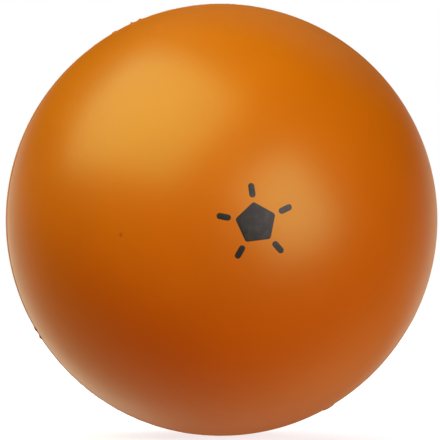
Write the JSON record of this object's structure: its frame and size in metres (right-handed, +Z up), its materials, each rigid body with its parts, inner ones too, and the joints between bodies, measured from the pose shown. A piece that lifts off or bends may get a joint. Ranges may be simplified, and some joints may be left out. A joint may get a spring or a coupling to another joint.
{
  "type": "foam ball",
  "caption": "Soft moulded foam play ball with a smooth satin skin, a trimmed parting line with vent stubs, and a small plain printed mark on its front.",
  "frame": {"origin": "centre of the ball", "axes": "+Z up; the mould opens along Y, so the parting line lies in the XZ plane; the printed mark faces -Y, the front"},
  "size_m": [0.2004, 0.2001, 0.2004],
  "materials": {
    "skin": "satin",
    "foam": "matte",
    "ink": "satin"
  },
  "bodies": {
    "root": {"foam_core": "foam", "front_skin": "skin", "rear_skin": "skin", "print_patch": "ink", "print_stroke_1": "ink", "print_stroke_2": "ink", "print_stroke_3": "ink", "print_stroke_4": "ink", "print_stroke_5": "ink"}
  },
  "joints": []
}
